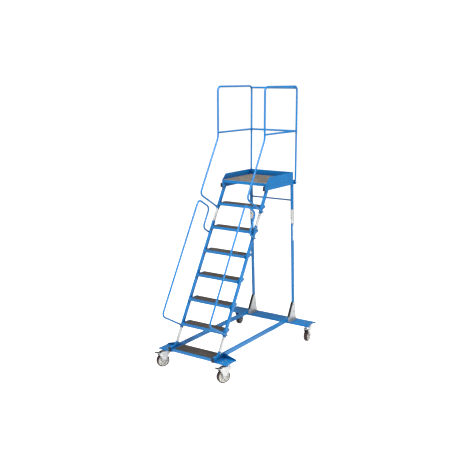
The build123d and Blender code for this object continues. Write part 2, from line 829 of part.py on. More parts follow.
def make_rim():
    outer = wheel_r - tyre_thickness
    half = [
        (axle_d / 2 + axle_clearance, -hub_width / 2),
        (axle_d / 2 + axle_clearance, hub_width / 2),
        (hub_d / 2, hub_width / 2),
        (hub_d / 2 + rim_taper, rim_web / 2),
        (outer - rim_band - rim_taper, rim_web / 2),
        (outer - rim_band, rim_width / 2),
        (outer, rim_width / 2),
        (outer, -rim_width / 2),
        (outer - rim_band, -rim_width / 2),
        (outer - rim_band - rim_taper, -rim_web / 2),
        (hub_d / 2 + rim_taper, -rim_web / 2),
        (hub_d / 2, -hub_width / 2),
    ]
    face = make_face(Polyline(*[(r, y, 0) for r, y in half], close=True))
    rim = revolve(face, Axis.Y)
    return Pos(castor_trail, 0, wheel_r) * rim


def make_tyre():
    inner = wheel_r - tyre_thickness
    face = Pos(inner + tyre_thickness / 2, 0) * Rectangle(tyre_thickness, tyre_width)
    face = fillet(face.vertices().group_by(Axis.X)[-1], tyre_corner)
    return Pos(castor_trail, 0, wheel_r) * revolve(face, Axis.Y)


def make_pedal():
    """A foot lever on its pin, with a toe plate behind the wheel and a brake block under it."""
    px, pz = pedal_pivot
    half = fork_half - pedal_side_gap
    eye_r = pedal_eye_d / 2
    tip = [(px + pedal_reach + dx, pz + dz) for dx, dz in pedal_tip]
    lever = [(px, pz + eye_r), *tip, (px, pz + eye_r - pedal_sheet)]
    face = make_face(Polyline(*[(x, -half, z) for x, z in lever], close=True))
    pedal = extrude(face, amount=2 * half, dir=(0, 1, 0))
    pedal += rod_y(-half, half, px, pz, pedal_eye_d)
    block_half = half - brake_block_inset
    face = make_face(Polyline(*[(px + dx, -block_half, pz + dz) for dx, dz in brake_block], close=True))
    pedal += extrude(face, amount=2 * block_half, dir=(0, 1, 0))
    return pedal - rod_y(-fork_gap, fork_gap, px, pz, pedal_pin_d + 2 * pedal_pin_clearance)


for name, (x, y) in castor_places.items():
    place = Pos(x, y, 0) * Rot(0, 0, castor_trail_deg[name])
    nodes["castor_fork_" + name] = solids_of([place * piece for piece in make_fork()])
    nodes["castor_rim_" + name] = place * make_rim()
    nodes["castor_tyre_" + name] = place * make_tyre()
    nodes["castor_pedal_" + name] = place * make_pedal()


# ---- put the origin in the middle of the footprint, on the floor, and write every node ----
boxes = [part.bounding_box() for part in nodes.values()]
middle_x = (min(b.min.X for b in boxes) + max(b.max.X for b in boxes)) / 2
middle_y = (min(b.min.Y for b in boxes) + max(b.max.Y for b in boxes)) / 2
floor = min(b.min.Z for b in boxes)
print("origin moved by", round(-middle_x, 4), round(-middle_y, 4), round(-floor, 4))

os.makedirs("parts", exist_ok=True)
for name, part in nodes.items():
    moved = [Pos(-middle_x, -middle_y, -floor) * solid for solid in part.solids()]
    export_step(moved[0] if len(moved) == 1 else Compound(children=moved), "parts/%s.step" % name)
print(len(nodes), "nodes")
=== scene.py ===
import bmesh
import bpy
import json
import math
from mathutils import Matrix, Vector


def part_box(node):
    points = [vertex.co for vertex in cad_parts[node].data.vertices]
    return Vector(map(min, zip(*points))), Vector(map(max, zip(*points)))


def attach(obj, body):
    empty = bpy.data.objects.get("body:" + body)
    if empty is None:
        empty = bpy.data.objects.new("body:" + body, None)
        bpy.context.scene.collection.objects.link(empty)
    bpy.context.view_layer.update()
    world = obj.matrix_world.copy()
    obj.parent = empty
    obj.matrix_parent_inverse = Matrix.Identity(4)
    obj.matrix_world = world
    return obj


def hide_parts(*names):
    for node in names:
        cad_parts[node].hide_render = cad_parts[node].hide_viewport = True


# Mobile ladder stand: materials, moulded and welded detail, floor, lights and camera.
# Metres, +Z up, +X to the climber's right, +Y the way the climber faces.

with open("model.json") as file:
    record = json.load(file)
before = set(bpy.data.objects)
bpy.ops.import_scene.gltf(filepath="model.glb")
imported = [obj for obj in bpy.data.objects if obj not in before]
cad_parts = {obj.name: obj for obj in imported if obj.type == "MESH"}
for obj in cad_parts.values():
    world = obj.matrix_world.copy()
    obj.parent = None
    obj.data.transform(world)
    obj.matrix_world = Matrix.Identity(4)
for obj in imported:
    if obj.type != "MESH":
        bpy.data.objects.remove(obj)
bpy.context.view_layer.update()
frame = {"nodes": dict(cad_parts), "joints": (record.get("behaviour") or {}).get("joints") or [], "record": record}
nodes = frame["nodes"]
joints = {joint["name"]: joint for joint in frame["joints"]}

CORNERS = ("front_left", "front_right", "rear_left", "rear_right")
SIDES = ("left", "right")
X_AXIS = 0
Y_AXIS = 1
ROUND_STEPS = 96                # steps round a turned shape

# ---- ribbed mats ----
MAT_INSET = 0.0004              # a mat's edges in from its CAD box
TREAD_RIB_PITCH = 0.0092
TREAD_RIB_DEPTH = 0.0017
DECK_RIB_PITCH = 0.0125
DECK_RIB_DEPTH = 0.0012
RIB_SHARE = 0.56                # a rib's width as a share of the pitch
RIB_SOFT = 0.16                 # half its rounded corner as a share of its width
RIB_CORNER = 0.35               # how deep that corner's middle lies, as a share of the rib's depth

# ---- weld beads ----
TUBE_RADIUS = 0.011             # of the guardrail tubes
BEAD_RADIUS = 0.0032
BEAD_RIPPLE = 0.0007
BEAD_WAVE = 0.0052              # length of one ripple
BEAD_STEPS_PER_WAVE = 6
BEAD_FEWEST_STEPS = 12
BEAD_TAPER_STEPS = 6            # steps over which a straight bead tapers at each end
BEAD_TIP = 0.35                 # its radius at the tip, as a share
RING_BEAD_SIDES = 8
LINE_BEAD_SIDES = 7
NO_BEAD_RUNS = Vector((0.31, 0.52, 0.80))   # a direction that no bead follows
RAIL_BEAD_INSET = TUBE_RADIUS * 0.35        # from a rail's end to its bead
RAIL_BEAD_RADIUS = TUBE_RADIUS * 0.97
TIE_BEAD_INSET = 0.0012
STAIR_SLOPE = math.radians(60.0)
WELDED_TREADS = range(2, 8)     # the lowest tread is on the base rails
TREAD_BEAD_INSET = 0.0035       # in from a tread's ends
TREAD_BEAD_BACK = 0.036         # behind its front edge
TREAD_BEAD_BELOW = 0.004        # under its top
TREAD_BEAD_DROP = 0.030         # height of the bead
OUTRIGGER_BEAD_INSET = 0.008
STILE_BEAD_START = 0.004        # from the edge of a socket or a top stile
STILE_BEAD_STOP = 0.043
SOCKET_FRONT_INSET = 0.002

# ---- washers ----
WASHER_OUTER = 0.0092
WASHER_INNER = 0.0042
WASHER_THICK = 0.0016
WASHER_SOFT = WASHER_THICK * 0.3
WASHER_STEPS = 40
BOLT_HEAD_HEIGHT = 0.0055

# ---- castor wheels ----
WHEEL_RADIUS = 0.075
BORE_RADIUS = 0.00605
HUB_RADIUS = 0.017
HUB_HALF = 0.023                # half widths along the axle
RIM_HALF = 0.020
TYRE_HALF = 0.022
WEB_HALF = 0.006
TYRE_INNER = 0.060
BAND_RADIUS = TYRE_INNER - 0.005            # inside of the rim's outer band
HUB_CORNER = 0.002
RIM_CORNER = 0.0015
RIM_DRAFT = 0.0012
WEB_FILLET = 0.002              # where the web meets hub and band, along the axle
WEB_RUN_OUT = 0.004             # and outwards
SPOKES = 8
SPOKE_SINK = 0.001              # into the hub and the web
SPOKE_SHORT = 0.0045            # from the tyre's seat
SPOKE_BELOW = 0.003             # under the faces of hub and rim
SPOKE_FOOT_HALF = 0.0024
SPOKE_TOP_HALF = 0.0015
TYRE_CORNER = 0.0014
TYRE_GROOVE = (0.0036, 0.0042, 0.0052, 0.0058)      # the wall groove's edges out from TYRE_INNER
TYRE_GROOVE_DEPTH = 0.0009
TYRE_CROWN = 0.0016             # how far the shoulder lies under the middle of the tread
TYRE_SHOULDER = 0.0075
TYRE_SHOULDER_STEPS = 6
CROWN_FLAT_HALF = 0.0055
CROWN_FLAT_DROP = TYRE_CROWN * 0.25

# ---- brake shoe and toe pad, from the pedal's pin ----
# The lever's top repeats the CAD pedal's, so it changes with it.
SHOE_OUTLINE = ((-0.0012, 0.0012), (0.0192, 0.0022), (0.0172, -0.0142), (0.0036, -0.0166))
SHOE_HALF = 0.0176
LEVER_TOP = 0.0085
LEVER_SLOPE = 15.5 / 54.0
PAD_START = 0.008
PAD_END = 0.046
PAD_HALF = 0.0215
PAD_THICK = 0.0042
PAD_SINK = 0.001
PAD_RIBS = 6
PAD_VALLEY = 0.6                # thickness between the ribs, as a share
PAD_RIB = ((0.0, PAD_VALLEY), (0.18, 1.0), (0.72, 1.0), (0.9, PAD_VALLEY))      # along, thickness

# ---- studio ----
FLOOR_SIZE = 60.0
FLOOR_ROUGHNESS = 0.9
FLOOR_GLOW = 1.0                # the floor as the camera sees it
BACKDROP_LIGHT = 1.05           # the world as the camera sees it
ROOM_LIGHT = 0.24               # the world as it lights the object
LIGHTS = (                      # name, place, target, size, power
    ("key", (1.5, -4.2, 9.5), (0.0, 0.0, 1.3), 4.0, 1350.0),
    ("side", (7.5, -1.5, 4.5), (0.0, 0.0, 1.2), 3.0, 380.0),
)
CAMERA_PLACE = (4.51705, -6.80806, 3.16515)
CAMERA_TURN = 33.68
CAMERA_DOWN = 12.17
CAMERA_LENS = 56.15
CAMERA_SENSOR = 36.0

# ---- shading ----
COAT_ROUGHNESS = 0.12
BEVEL_SAMPLES = 4
# samples for the painted shade in hollows
PAINTED_SHADE_SAMPLES = 8
WHITE = (1.0, 1.0, 1.0, 1.0)


# ---- material helpers ----
def new_material(name, colour, roughness, metallic=0.0, coat=0.0):
    """A Principled material, with its node tree and shader returned for the pattern to be added."""
    material = bpy.data.materials.new(name)
    material.use_nodes = True
    tree = material.node_tree
    shader = tree.nodes["Principled BSDF"]
    shader.inputs["Base Color"].default_value = (*colour, 1.0)
    shader.inputs["Roughness"].default_value = roughness
    shader.inputs["Metallic"].default_value = metallic
    shader.inputs["Coat Weight"].default_value = coat
    shader.inputs["Coat Roughness"].default_value = COAT_ROUGHNESS
    return material, tree, shader


def add(tree, kind, **inputs):
    """A node of this kind, with the named inputs set."""
    node = tree.nodes.new(kind)
    for key, value in inputs.items():
        node.inputs[key].default_value = value
    return node


def object_space(tree):
    return add(tree, "ShaderNodeTexCoord").outputs["Object"]


def noise(tree, where, scale, detail=4.0, roughness=0.55):
    node = add(tree, "ShaderNodeTexNoise", Scale=scale, Detail=detail, Roughness=roughness)
    tree.links.new(where, node.inputs["Vector"])
    return node.outputs["Fac"]


def remap(tree, value, low, high, to_low=0.0, to_high=1.0):
    node = add(tree, "ShaderNodeMapRange")
    for key, number in (("From Min", low), ("From Max", high), ("To Min", to_low), ("To Max", to_high)):
        node.inputs[key].default_value = number
    tree.links.new(value, node.inputs["Value"])
    return node.outputs["Result"]


def patches(tree, where, scale, detail, low, high, strength=1.0, roughness=0.55):
    """Noise cut into patches: nothing where it is under low, full strength where it is over high."""
    return remap(tree, noise(tree, where, scale, detail, roughness), low, high, 0.0, strength)


def multiply(tree, first, second):
    node = tree.nodes.new("ShaderNodeMath")
    node.operation = "MULTIPLY"
    tree.links.new(first, node.inputs[0])
    tree.links.new(second, node.inputs[1])
    return node.outputs["Value"]


def blend_colour(tree, factor, first, second):
    """First where the factor is 0, second where it is 1: each a triple or another node's output."""
    node = tree.nodes.new("ShaderNodeMix")
    node.data_type = "RGBA"
    tree.links.new(factor, node.inputs["Factor"])
    for socket, colour in ((node.inputs[6], first), (node.inputs[7], second)):
        if isinstance(colour, tuple):
            socket.default_value = (*colour, 1.0)
        else:
            tree.links.new(colour, socket)
    return node.outputs[2]


def rounded_normal(tree, radius):
    """The surface's normal with sharp edges rounded off to this radius."""
    node = add(tree, "ShaderNodeBevel", Radius=radius)
    node.samples = BEVEL_SAMPLES
    return node.outputs["Normal"]


def edge_mask(tree, rounded):
    """1 at an edge and 0 on a flat: how far the rounded normal leaves the true one."""
    true = add(tree, "ShaderNodeNewGeometry").outputs["Normal"]
    dot = tree.nodes.new("ShaderNodeVectorMath")
    dot.operation = "DOT_PRODUCT"
    tree.links.new(rounded, dot.inputs[0])
    tree.links.new(true, dot.inputs[1])
    return remap(tree, dot.outputs["Value"], 0.95, 0.80)


def painted_shade_mask(tree, reach):
    """Painted shade: 0 where other surfaces stand close by, 1 in the open."""
    node = add(tree, "ShaderNodeAmbientOcclusion", Distance=reach)
    node.samples = PAINTED_SHADE_SAMPLES
    return remap(tree, node.outputs["AO"], 0.35, 0.95)


def connect(tree, shader, colour, roughness):
    tree.links.new(colour, shader.inputs["Base Color"])
    tree.links.new(roughness, shader.inputs["Roughness"])


def bump(tree, shader, height, distance, strength, under=None):
    """Small relief on the shader's normal, over another normal if one is given."""
    node = add(tree, "ShaderNodeBump", Strength=strength, Distance=distance)
    tree.links.new(height, node.inputs["Height"])
    if under is not None:
        tree.links.new(under, node.inputs["Normal"])
    tree.links.new(node.outputs["Normal"], shader.inputs["Normal"])


# ---- materials ----
def make_blue_paint():
    """Gloss powder coat: uneven colour, scuffs, rubbed edges, painted shade in the hollows, faint orange peel."""
    material, tree, shader = new_material("blue_paint", (0.004, 0.150, 0.41), 0.3, coat=0.12)
    shader.inputs["Specular IOR Level"].default_value = 0.3
    where = object_space(tree)
    uneven = patches(tree, where, scale=3.2, detail=3.0, low=0.35, high=0.7)
    colour = blend_colour(tree, uneven, (0.003, 0.136, 0.375), (0.006, 0.164, 0.43))
    scuffs = patches(tree, where, scale=64.0, detail=8.0, low=0.60, high=0.72, strength=0.28, roughness=0.72)
    colour = blend_colour(tree, scuffs, colour, (0.012, 0.185, 0.46))
    rounded = rounded_normal(tree, 0.0022)
    rubbed = patches(tree, where, scale=26.0, detail=6.0, low=0.5, high=0.68, strength=0.6)
    worn = multiply(tree, edge_mask(tree, rounded), rubbed)
    colour = blend_colour(tree, worn, colour, (0.08, 0.29, 0.60))
    # painted shade: dark navy where other surfaces stand close by
    colour = blend_colour(tree, painted_shade_mask(tree, 0.09), (0.001, 0.028, 0.13), colour)
    connect(tree, shader, colour, remap(tree, noise(tree, where, 9.0, 5.0), 0.3, 0.75, 0.24, 0.42))
    bump(tree, shader, noise(tree, where, 420.0, 2.0), 0.00025, 0.35, rounded)
    return material


def make_galvanised():
    """Hot-dip zinc: spangled crystals in greys, with dull patches and painted shade in the hollows."""
    material, tree, shader = new_material("galvanised_steel", (0.6, 0.61, 0.6), 0.42, metallic=0.6)
    where = object_space(tree)
    spangle = add(tree, "ShaderNodeTexVoronoi", Scale=95.0)
    tree.links.new(where, spangle.inputs["Vector"])
    grey = remap(tree, spangle.outputs["Color"], 0.0, 1.0)
    colour = blend_colour(tree, grey, (0.50, 0.51, 0.50), (0.72, 0.73, 0.72))
    dull = patches(tree, where, scale=14.0, detail=5.0, low=0.45, high=0.7, strength=0.55)
    colour = blend_colour(tree, dull, colour, (0.60, 0.595, 0.57))
    # painted shade: dark grey where other surfaces stand close by
    colour = blend_colour(tree, painted_shade_mask(tree, 0.05), (0.16, 0.16, 0.155), colour)
    connect(tree, shader, colour, remap(tree, grey, 0.0, 1.0, 0.34, 0.52))
    bump(tree, shader, noise(tree, where, 160.0), 0.0003, 0.4, rounded_normal(tree, 0.0015))
    return material


def make_zinc_plate():
    """Bright zinc on pressed steel: a few smudges, painted shade in the hollows and a fine grain."""
    material, tree, shader = new_material("zinc_plate", (0.66, 0.66, 0.64), 0.32, metallic=0.6)
    where = object_space(tree)
    smudge = patches(tree, where, scale=38.0, detail=6.0, low=0.4, high=0.7)
    colour = blend_colour(tree, smudge, (0.60, 0.60, 0.59), (0.46, 0.46, 0.45))
    # painted shade: near black where other surfaces stand close by
    colour = blend_colour(tree, painted_shade_mask(tree, 0.03), (0.10, 0.10, 0.10), colour)
    connect(tree, shader, colour, remap(tree, smudge, 0.0, 1.0, 0.26, 0.46))
    bump(tree, shader, noise(tree, where, 700.0, 3.0), 0.00012, 0.35, rounded_normal(tree, 0.0012))
    return material


def make_rubber(name, dark, light, dusty, dust_share, roughness):
    """Moulded rubber: two tones, dust lying in patches and a fine grain."""
    material, tree, shader = new_material(name, dark, roughness)
    where = object_space(tree)
    colour = blend_colour(tree, patches(tree, where, scale=18.0, detail=6.0, low=0.35, high=0.7), dark, light)
    dust = patches(tree, where, scale=7.0, detail=8.0, low=0.48, high=0.68,
                   strength=dust_share, roughness=0.7)
    colour = blend_colour(tree, dust, colour, dusty)
    uneven = remap(tree, noise(tree, where, 30.0), 0.3, 0.7, roughness - 0.1, roughness + 0.1)
    connect(tree, shader, colour, uneven)
    bump(tree, shader, noise(tree, where, 900.0, 3.0), 0.0003, 0.5)
    return material


def make_wheel_nylon():
    """Pale moulded nylon with faint flow marks, specks of grime and painted shade in the hollows."""
    material, tree, shader = new_material("wheel_nylon", (0.72, 0.70, 0.62), 0.42)
    where = object_space(tree)
    flow = patches(tree, where, scale=22.0, detail=5.0, low=0.35, high=0.7)
    colour = blend_colour(tree, flow, (0.74, 0.73, 0.68), (0.64, 0.63, 0.59))
    grime = patches(tree, where, scale=75.0, detail=8.0, low=0.58, high=0.75, strength=0.5, roughness=0.7)
    colour = blend_colour(tree, grime, colour, (0.30, 0.28, 0.25))
    # painted shade: darker beige where other surfaces stand close by
    colour = blend_colour(tree, painted_shade_mask(tree, 0.015), (0.38, 0.365, 0.33), colour)
    connect(tree, shader, colour, remap(tree, flow, 0.0, 1.0, 0.36, 0.5))
    bump(tree, shader, noise(tree, where, 500.0, 3.0), 0.0002, 0.3)
    return material


def make_black_plastic():
    """Moulded black plastic with a fine grain."""
    material, tree, shader = new_material("black_plastic", (0.004, 0.004, 0.005), 0.6)
    where = object_space(tree)
    uneven = patches(tree, where, scale=40.0, detail=5.0, low=0.4, high=0.75)
    colour = blend_colour(tree, uneven, (0.003, 0.003, 0.004), (0.009, 0.009, 0.009))
    connect(tree, shader, colour, remap(tree, noise(tree, where, 55.0), 0.3, 0.7, 0.4, 0.62))
    bump(tree, shader, noise(tree, where, 1100.0, 2.0), 0.0002, 0.5)
    return material


def make_label_film():
    """Blank film, a little wrinkled and scuffed."""
    material, tree, shader = new_material("label_film", (0.78, 0.80, 0.82), 0.25, coat=0.3)
    where = object_space(tree)
    scuff = patches(tree, where, scale=90.0, detail=8.0, low=0.55, high=0.75, strength=0.6, roughness=0.7)
    colour = blend_colour(tree, scuff, (0.80, 0.82, 0.84), (0.58, 0.62, 0.66))
    connect(tree, shader, colour, remap(tree, scuff, 0.0, 0.6, 0.2, 0.45))
    bump(tree, shader, noise(tree, where, 60.0, 2.0), 0.0004, 0.3)
    return material


materials = {
    "blue_paint": make_blue_paint(),
    "galvanised_steel": make_galvanised(),
    "zinc_plate": make_zinc_plate(),
    "tread_rubber": make_rubber("tread_rubber", (0.022, 0.017, 0.014), (0.042, 0.034, 0.028),
                                (0.10, 0.085, 0.07), 0.35, 0.8),
    "platform_rubber": make_rubber("platform_rubber", (0.085, 0.072, 0.058), (0.135, 0.115, 0.094),
                                   (0.20, 0.18, 0.155), 0.5, 0.8),
    "tyre_rubber": make_rubber("tyre_rubber", (0.014, 0.003, 0.003), (0.026, 0.006, 0.005),
                               (0.060, 0.024, 0.020), 0.2, 0.66),
    "wheel_centre": make_wheel_nylon(),
    "black_plastic": make_black_plastic(),
    "label_film": make_label_film(),
}
for part in frame["record"]["subparts"]:
    mesh = nodes[part["node"]].data
    mesh.materials.clear()
    mesh.materials.append(materials[part["material_slot"]])


# ---- mesh helpers ----
def piece(name, bm, slot, body, stands_for=(), smooth=True):
    """Make the built mesh an object that rides on a body, with its material and what it replaces."""
    bmesh.ops.recalc_face_normals(bm, faces=bm.faces)
    mesh = bpy.data.meshes.new(name)
    bm.to_mesh(mesh)
    bm.free()
    mesh.update()
    mesh.materials.append(materials[slot])
    for face in mesh.polygons:
        face.use_smooth = smooth
    made = bpy.data.objects.new(name, mesh)
    bpy.context.scene.collection.objects.link(made)
    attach(made, body)
    if stands_for:
        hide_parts(*stands_for)


def prism(bm, near, far):
    """Two matching rings of corners joined by sides and capped."""
    rings = [[bm.verts.new(corner) for corner in ring] for ring in (near, far)]
    count = len(near)
    for i in range(count):
        j = (i + 1) % count
        bm.faces.new((rings[0][i], rings[0][j], rings[1][j], rings[1][i]))
    bm.faces.new(rings[0][::-1])
    bm.faces.new(rings[1])


def lathe(bm, profile, place, steps=ROUND_STEPS):
    """A closed (radius, along) profile turned about local Y and moved by the place matrix."""
    rings = []
    for step in range(steps):
        turn = 2 * math.pi * step / steps
        rings.append([bm.verts.new(place @ Vector((r * math.cos(turn), a, r * math.sin(turn))))
                      for r, a in profile])
    count = len(profile)
    for step in range(steps):
        here = rings[step]
        there = rings[(step + 1) % steps]
        for i in range(count):
            j = (i + 1) % count
            bm.faces.new((here[i], here[j], there[j], there[i]))


def mirrored(half_profile):
    """A (radius, along) half profile and its mirror image across the wheel's middle."""
    return half_profile + [(r, -a) for r, a in reversed(half_profile)]


def tube_along(bm, points, radii, closed, sides):
    """A tube through the points with a radius at each, closed into a loop or capped."""
    rings = []
    count = len(points)
    for i, point in enumerate(points):
        before = points[i - 1] if closed or i > 0 else point
        after = points[(i + 1) % count] if closed or i < count - 1 else point
        forward = (after - before).normalized()
        across = forward.cross(NO_BEAD_RUNS).normalized()
        up = forward.cross(across)
        ring = []
        for side in range(sides):
            turn = 2 * math.pi * side / sides
            ring.append(bm.verts.new(point + radii[i] * (math.cos(turn) * across + math.sin(turn) * up)))
        rings.append(ring)
    for i in range(count if closed else count - 1):
        here = rings[i]
        there = rings[(i + 1) % count]
        for side in range(sides):
            beside = (side + 1) % sides
            bm.faces.new((here[side], here[beside], there[beside], there[side]))
    if not closed:
        bm.faces.new(rings[0][::-1])
        bm.faces.new(rings[-1])


def facing(point, axis):
    """The matrix that takes local Y to the axis and the origin to the point."""
    turn = Vector((0, 1, 0)).rotation_difference(Vector(axis)).to_matrix().to_4x4()
    return Matrix.Translation(point) @ turn


def islands(node):
    """The boxes of the separate solids in a CAD node: a list of (lowest, highest) corners."""
    bm = bmesh.new()
    bm.from_mesh(nodes[node].data)
    bmesh.ops.remove_doubles(bm, verts=bm.verts, dist=1e-6)
    left = set(bm.verts)
    found = []
    while left:
        stack = [left.pop()]
        group = []
        while stack:
            vert = stack.pop()
            group.append(vert.co.copy())
            for edge in vert.link_edges:
                other = edge.other_vert(vert)
                if other in left:
                    left.remove(other)
                    stack.append(other)
        low = Vector([min(co[i] for co in group) for i in range(3)])
        high = Vector([max(co[i] for co in group) for i in range(3)])
        found.append((low, high))
    bm.free()
    found.sort(key=lambda pair: tuple(round(c, 4) for c in pair[0]))
    return found


# ---- ribbed mats ----
def rib_outline(y0, y1, z0, z1, pitch, depth):
    """A mat's (y, z) section: a flat base and a row of rounded ribs along the top."""
    count = max(1, int((y1 - y0) / pitch))
    step = (y1 - y0) / count
    outline = [(y0, z0)]
    for rib in range(count):
        start = y0 + rib * step + (1 - RIB_SHARE) * step / 2
        stop = start + RIB_SHARE * step
        soft = RIB_SHARE * step * RIB_SOFT
        corner = z1 - depth * RIB_CORNER
        outline += [(start - soft, z1 - depth), (start, corner), (start + soft, z1),
                    (stop - soft, z1), (stop, corner), (stop + soft, z1 - depth)]
    outline.append((y1, z0))
    return outline


def ribbed_mat(name, low, high, pitch, depth, slot, stands_for):
    bm = bmesh.new()
    outline = rib_outline(low.y + MAT_INSET, high.y - MAT_INSET, low.z, high.z, pitch, depth)
    prism(bm, *([(x, y, z) for y, z in outline] for x in (low.x + MAT_INSET, high.x - MAT_INSET)))
    piece(name, bm, slot, "frame", stands_for, smooth=False)


mat_boxes = sorted(islands("tread_mats"), key=lambda pair: pair[0].z)
for number, (low, high) in enumerate(mat_boxes, start=1):
    ribbed_mat("ribbed_mat_%d" % number, low, high, TREAD_RIB_PITCH, TREAD_RIB_DEPTH,
               "tread_rubber", ("tread_mats",))
ribbed_mat("ribbed_mat_platform", *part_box("platform_mat"), DECK_RIB_PITCH, DECK_RIB_DEPTH,
           "platform_rubber", ("platform_mat",))


# ---- welds ----
def ripple(length, count):
    """A bead's radius at each of its steps."""
    waves = max(1, round(length / BEAD_WAVE))
    return [BEAD_RADIUS + BEAD_RIPPLE * math.sin(2 * math.pi * waves * i / count) for i in range(count)]


def ring_bead(bm, centre, axis, radius):
    """A weld bead round a tube's end."""
    across = axis.orthogonal().normalized()
    up = axis.cross(across)
    points = []
    for i in range(ROUND_STEPS):
        turn = 2 * math.pi * i / ROUND_STEPS
        points.append(centre + radius * (math.cos(turn) * across + math.sin(turn) * up))
    tube_along(bm, points, ripple(2 * math.pi * radius, ROUND_STEPS), True, RING_BEAD_SIDES)


def end_beads(bm, low, high, axis, inset, radius):
    """A ring bead near each end of a bar that fills this box along X_AXIS or Y_AXIS."""
    centre = (low + high) / 2
    forward = Vector((0.0, 0.0, 0.0))
    forward[axis] = 1.0
    for spot in (low[axis] + inset, high[axis] - inset):
        centre[axis] = spot
        ring_bead(bm, centre, forward, radius)


def line_bead(bm, start, end):
    """A straight weld bead that tapers off at both ends."""
    start = Vector(start)
    end = Vector(end)
    length = (end - start).length
    count = max(BEAD_FEWEST_STEPS, int(length / (BEAD_WAVE / BEAD_STEPS_PER_WAVE)))
    radii = ripple(length, count)
    for i in range(count):
        into = min(i, count - 1 - i) / BEAD_TAPER_STEPS
        radii[i] *= min(1.0, BEAD_TIP + (1.0 - BEAD_TIP) * into)
    points = [start.lerp(end, i / (count - 1)) for i in range(count)]
    tube_along(bm, points, radii, False, LINE_BEAD_SIDES)


def add_rail_welds():
    """Beads where the side mid rails and the rear rails meet the bent guard tubes."""
    bm = bmesh.new()
    for node, axis in (("guard_mid_rails", Y_AXIS), ("rear_rails", X_AXIS)):
        for low, high in islands(node):
            end_beads(bm, low, high, axis, RAIL_BEAD_INSET, RAIL_BEAD_RADIUS)
    piece("rail_welds", bm, "blue_paint", "frame")


def add_tie_welds():
    """Beads at the ends of the tie bar between the rear legs."""
    bm = bmesh.new()
    low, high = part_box("leg_tie")
    end_beads(bm, low, high, X_AXIS, TIE_BEAD_INSET, (high.z - low.z) / 2)
    piece("tie_welds", bm, "blue_paint", "frame")


def add_tread_welds():
    """Beads down the end plates of each step, where they meet the stiles."""
    bm = bmesh.new()
    down_stile = Vector((0.0, TREAD_BEAD_DROP / math.tan(STAIR_SLOPE), TREAD_BEAD_DROP))
    for step in WELDED_TREADS:
        low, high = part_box("tread_%d" % step)
        for x in (low.x + TREAD_BEAD_INSET, high.x - TREAD_BEAD_INSET):
            top = Vector((x, low.y + TREAD_BEAD_BACK, high.z - TREAD_BEAD_BELOW))
            line_bead(bm, top, top - down_stile)
    piece("tread_welds", bm, "blue_paint", "frame")


def add_base_welds():
    """Beads under the rails on the outriggers, round the sockets, and on top of the top stiles."""
    bm = bmesh.new()
    for side in SIDES:
        rail_low, rail_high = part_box("base_rail_" + side)
        out_low, out_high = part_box("front_outrigger_" + side)
        front, back = out_low.y + OUTRIGGER_BEAD_INSET, out_high.y - OUTRIGGER_BEAD_INSET
        for x in (rail_low.x, rail_high.x):
            line_bead(bm, (x, front, rail_low.z), (x, back, rail_low.z))
    for low, high in islands("stile_sockets"):
        for x in (low.x, high.x):
            line_bead(bm, (x, low.y + STILE_BEAD_START, low.z), (x, low.y + STILE_BEAD_STOP, low.z))
        front = low.y + SOCKET_FRONT_INSET
        line_bead(bm, (low.x, front, low.z), (high.x, front, low.z))
    for side in SIDES:
        low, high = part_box("stile_top_" + side)
        for x in (low.x, high.x):
            line_bead(bm, (x, high.y - STILE_BEAD_STOP, high.z), (x, high.y - STILE_BEAD_START, high.z))
    piece("base_welds", bm, "blue_paint", "frame")


add_rail_welds()
add_tie_welds()
add_tread_welds()
add_base_welds()


# ---- washers under the bolt heads ----
def washer_profile():
    return [
        (WASHER_INNER, 0.0), (WASHER_OUTER - WASHER_SOFT, 0.0), (WASHER_OUTER, WASHER_SOFT),
        (WASHER_OUTER, WASHER_THICK - WASHER_SOFT), (WASHER_OUTER - WASHER_SOFT, WASHER_THICK),
        (WASHER_INNER, WASHER_THICK)]


def add_washers():
    """A washer under each head: frame bolts face outwards along X or to the front, castor bolts up."""
    bm = bmesh.new()
    for low, high in islands("frame_bolts"):
        centre = (low + high) / 2
        size = high - low
        if size.x > size.y:
            sign = 1 if centre.x > 0 else -1
            tip = high.x if sign > 0 else low.x
            place = facing((tip - sign * BOLT_HEAD_HEIGHT, centre.y, centre.z), (sign, 0, 0))
        else:
            place = facing((centre.x, low.y + BOLT_HEAD_HEIGHT, centre.z), (0, -1, 0))
        lathe(bm, washer_profile(), place, WASHER_STEPS)
    for low, high in islands("castor_bolts"):
        centre = (low + high) / 2
        place = facing((centre.x, centre.y, high.z - BOLT_HEAD_HEIGHT), (0, 0, 1))
        lathe(bm, washer_profile(), place, WASHER_STEPS)
    piece("bolt_washers", bm, "zinc_plate", "frame")


add_washers()


# ---- castor wheels ----
def rim_profile():
    """Hub, thin web and outer band, as one closed section."""
    return mirrored([
        (BORE_RADIUS, HUB_HALF), (HUB_RADIUS - HUB_CORNER, HUB_HALF), (HUB_RADIUS, HUB_HALF - RIM_CORNER),
        (HUB_RADIUS + RIM_DRAFT, WEB_HALF + WEB_FILLET), (HUB_RADIUS + WEB_RUN_OUT, WEB_HALF),
        (BAND_RADIUS - WEB_RUN_OUT, WEB_HALF), (BAND_RADIUS - RIM_DRAFT, WEB_HALF + WEB_FILLET),
        (BAND_RADIUS, RIM_HALF - RIM_CORNER), (BAND_RADIUS + RIM_DRAFT, RIM_HALF), (TYRE_INNER, RIM_HALF)])


